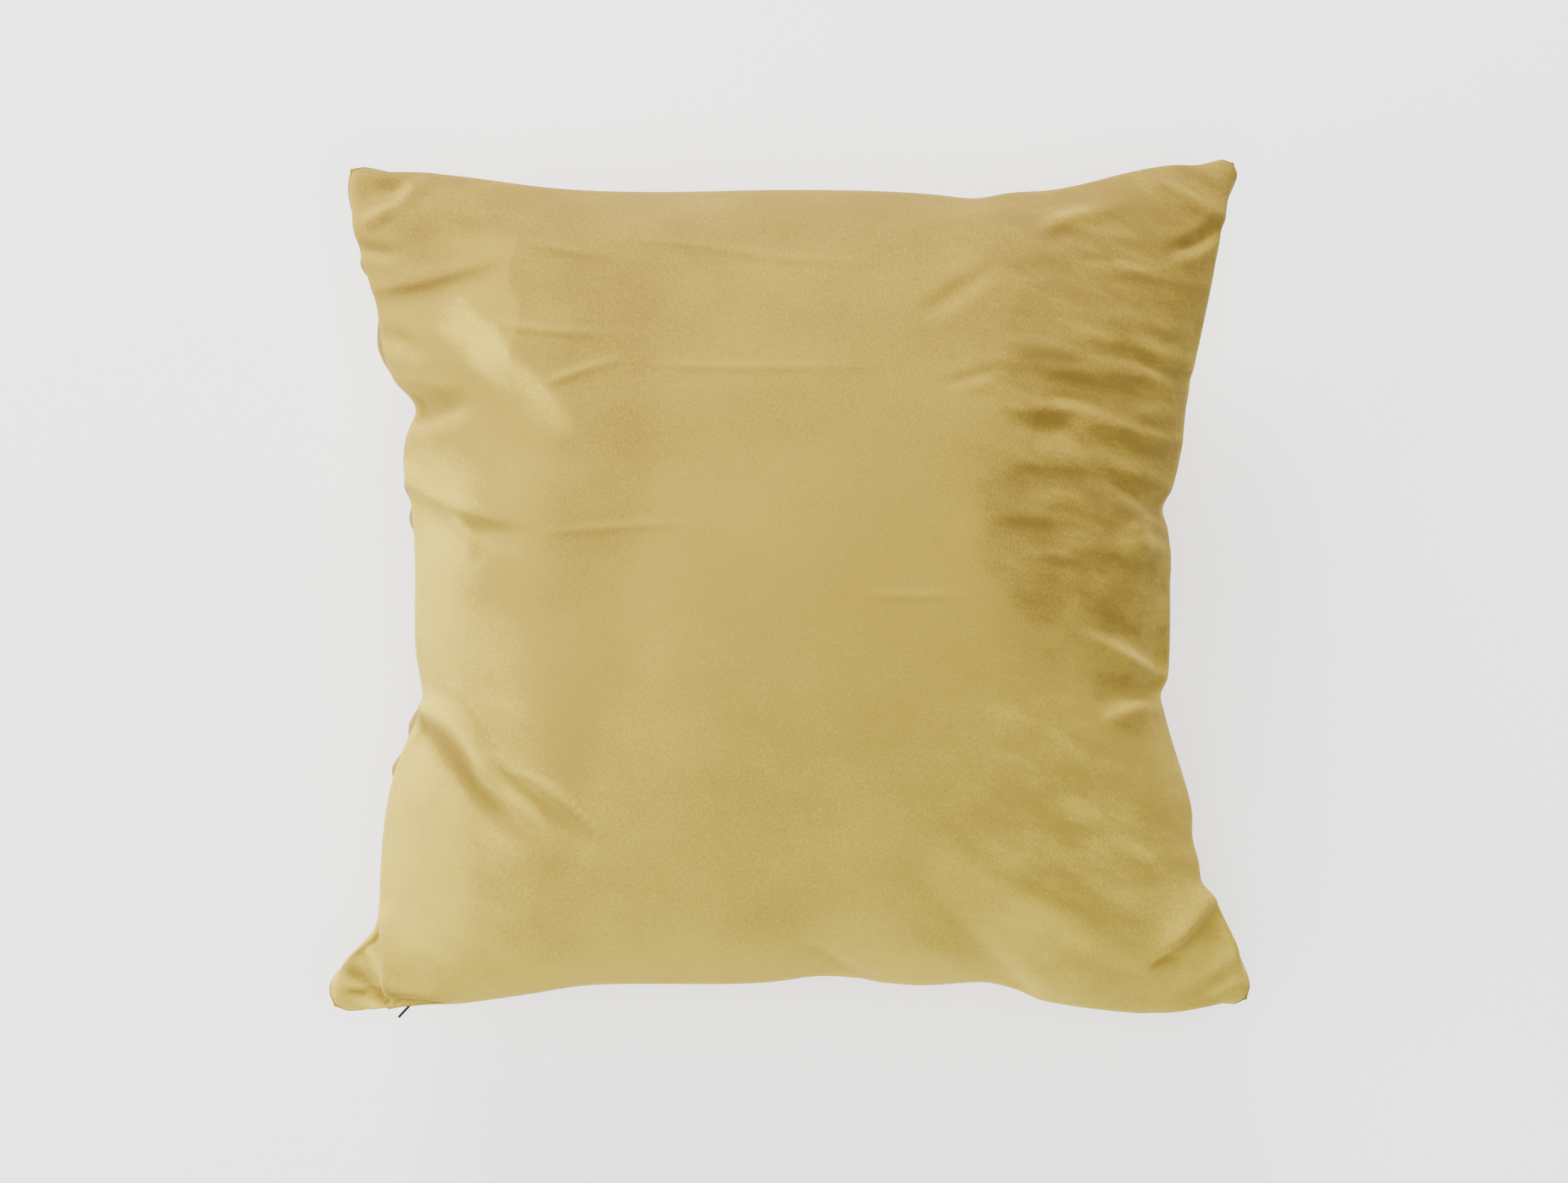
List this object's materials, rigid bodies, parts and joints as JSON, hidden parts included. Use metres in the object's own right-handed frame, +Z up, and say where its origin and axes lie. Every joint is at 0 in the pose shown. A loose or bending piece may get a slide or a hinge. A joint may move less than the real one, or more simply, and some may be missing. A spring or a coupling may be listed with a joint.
{
  "type": "throw pillow",
  "caption": "Square velvet throw pillow: a two-panel cover with a concealed zip in its bottom seam over a removable fibre-filled insert.",
  "frame": {"origin": "on the floor, below the middle of the pillow's box, with the pillow lying on its back panel", "axes": "+Z up out of the front panel, +Y towards the edge opposite the zip, +X along the zip away from its closed end"},
  "size_m": [0.4441, 0.4146, 0.1465],
  "materials": {
    "velvet": "matte",
    "thread": "matte",
    "casing": "matte",
    "fibre": "matte",
    "zip_tape": "matte",
    "zip_coil": "satin",
    "zip_metal": "satin",
    "label": "satin"
  },
  "bodies": {
    "pillow": {"front_panel": "velvet", "back_panel": "velvet", "cover_seam_thread": "thread", "insert_casing_front": "casing", "insert_casing_back": "casing", "insert_fill": "fibre", "insert_seam_thread": "thread", "care_label": "label", "zipper_tape_front": "zip_tape", "zipper_tape_back": "zip_tape", "zipper_coil_front": "zip_coil", "zipper_coil_back": "zip_coil", "zipper_top_stop_front": "zip_metal", "zipper_top_stop_back": "zip_metal", "zipper_bottom_stop": "zip_metal"},
    "slider": {"zipper_slider": "zip_metal"},
    "pull": {"zipper_pull": "zip_metal"}
  },
  "joints": [
    {"name": "slider_travel", "type": "slide", "parent": "pillow", "child": "slider", "axis": [1, 0, 0], "range_m": [0, 0.289]},
    {"name": "pull_swing", "type": "hinge", "parent": "slider", "child": "pull", "pos_m": [-0.171, -0.1887, 0.062], "axis": [0, 0, 1], "range_deg": [-4, 116]}
  ]
}
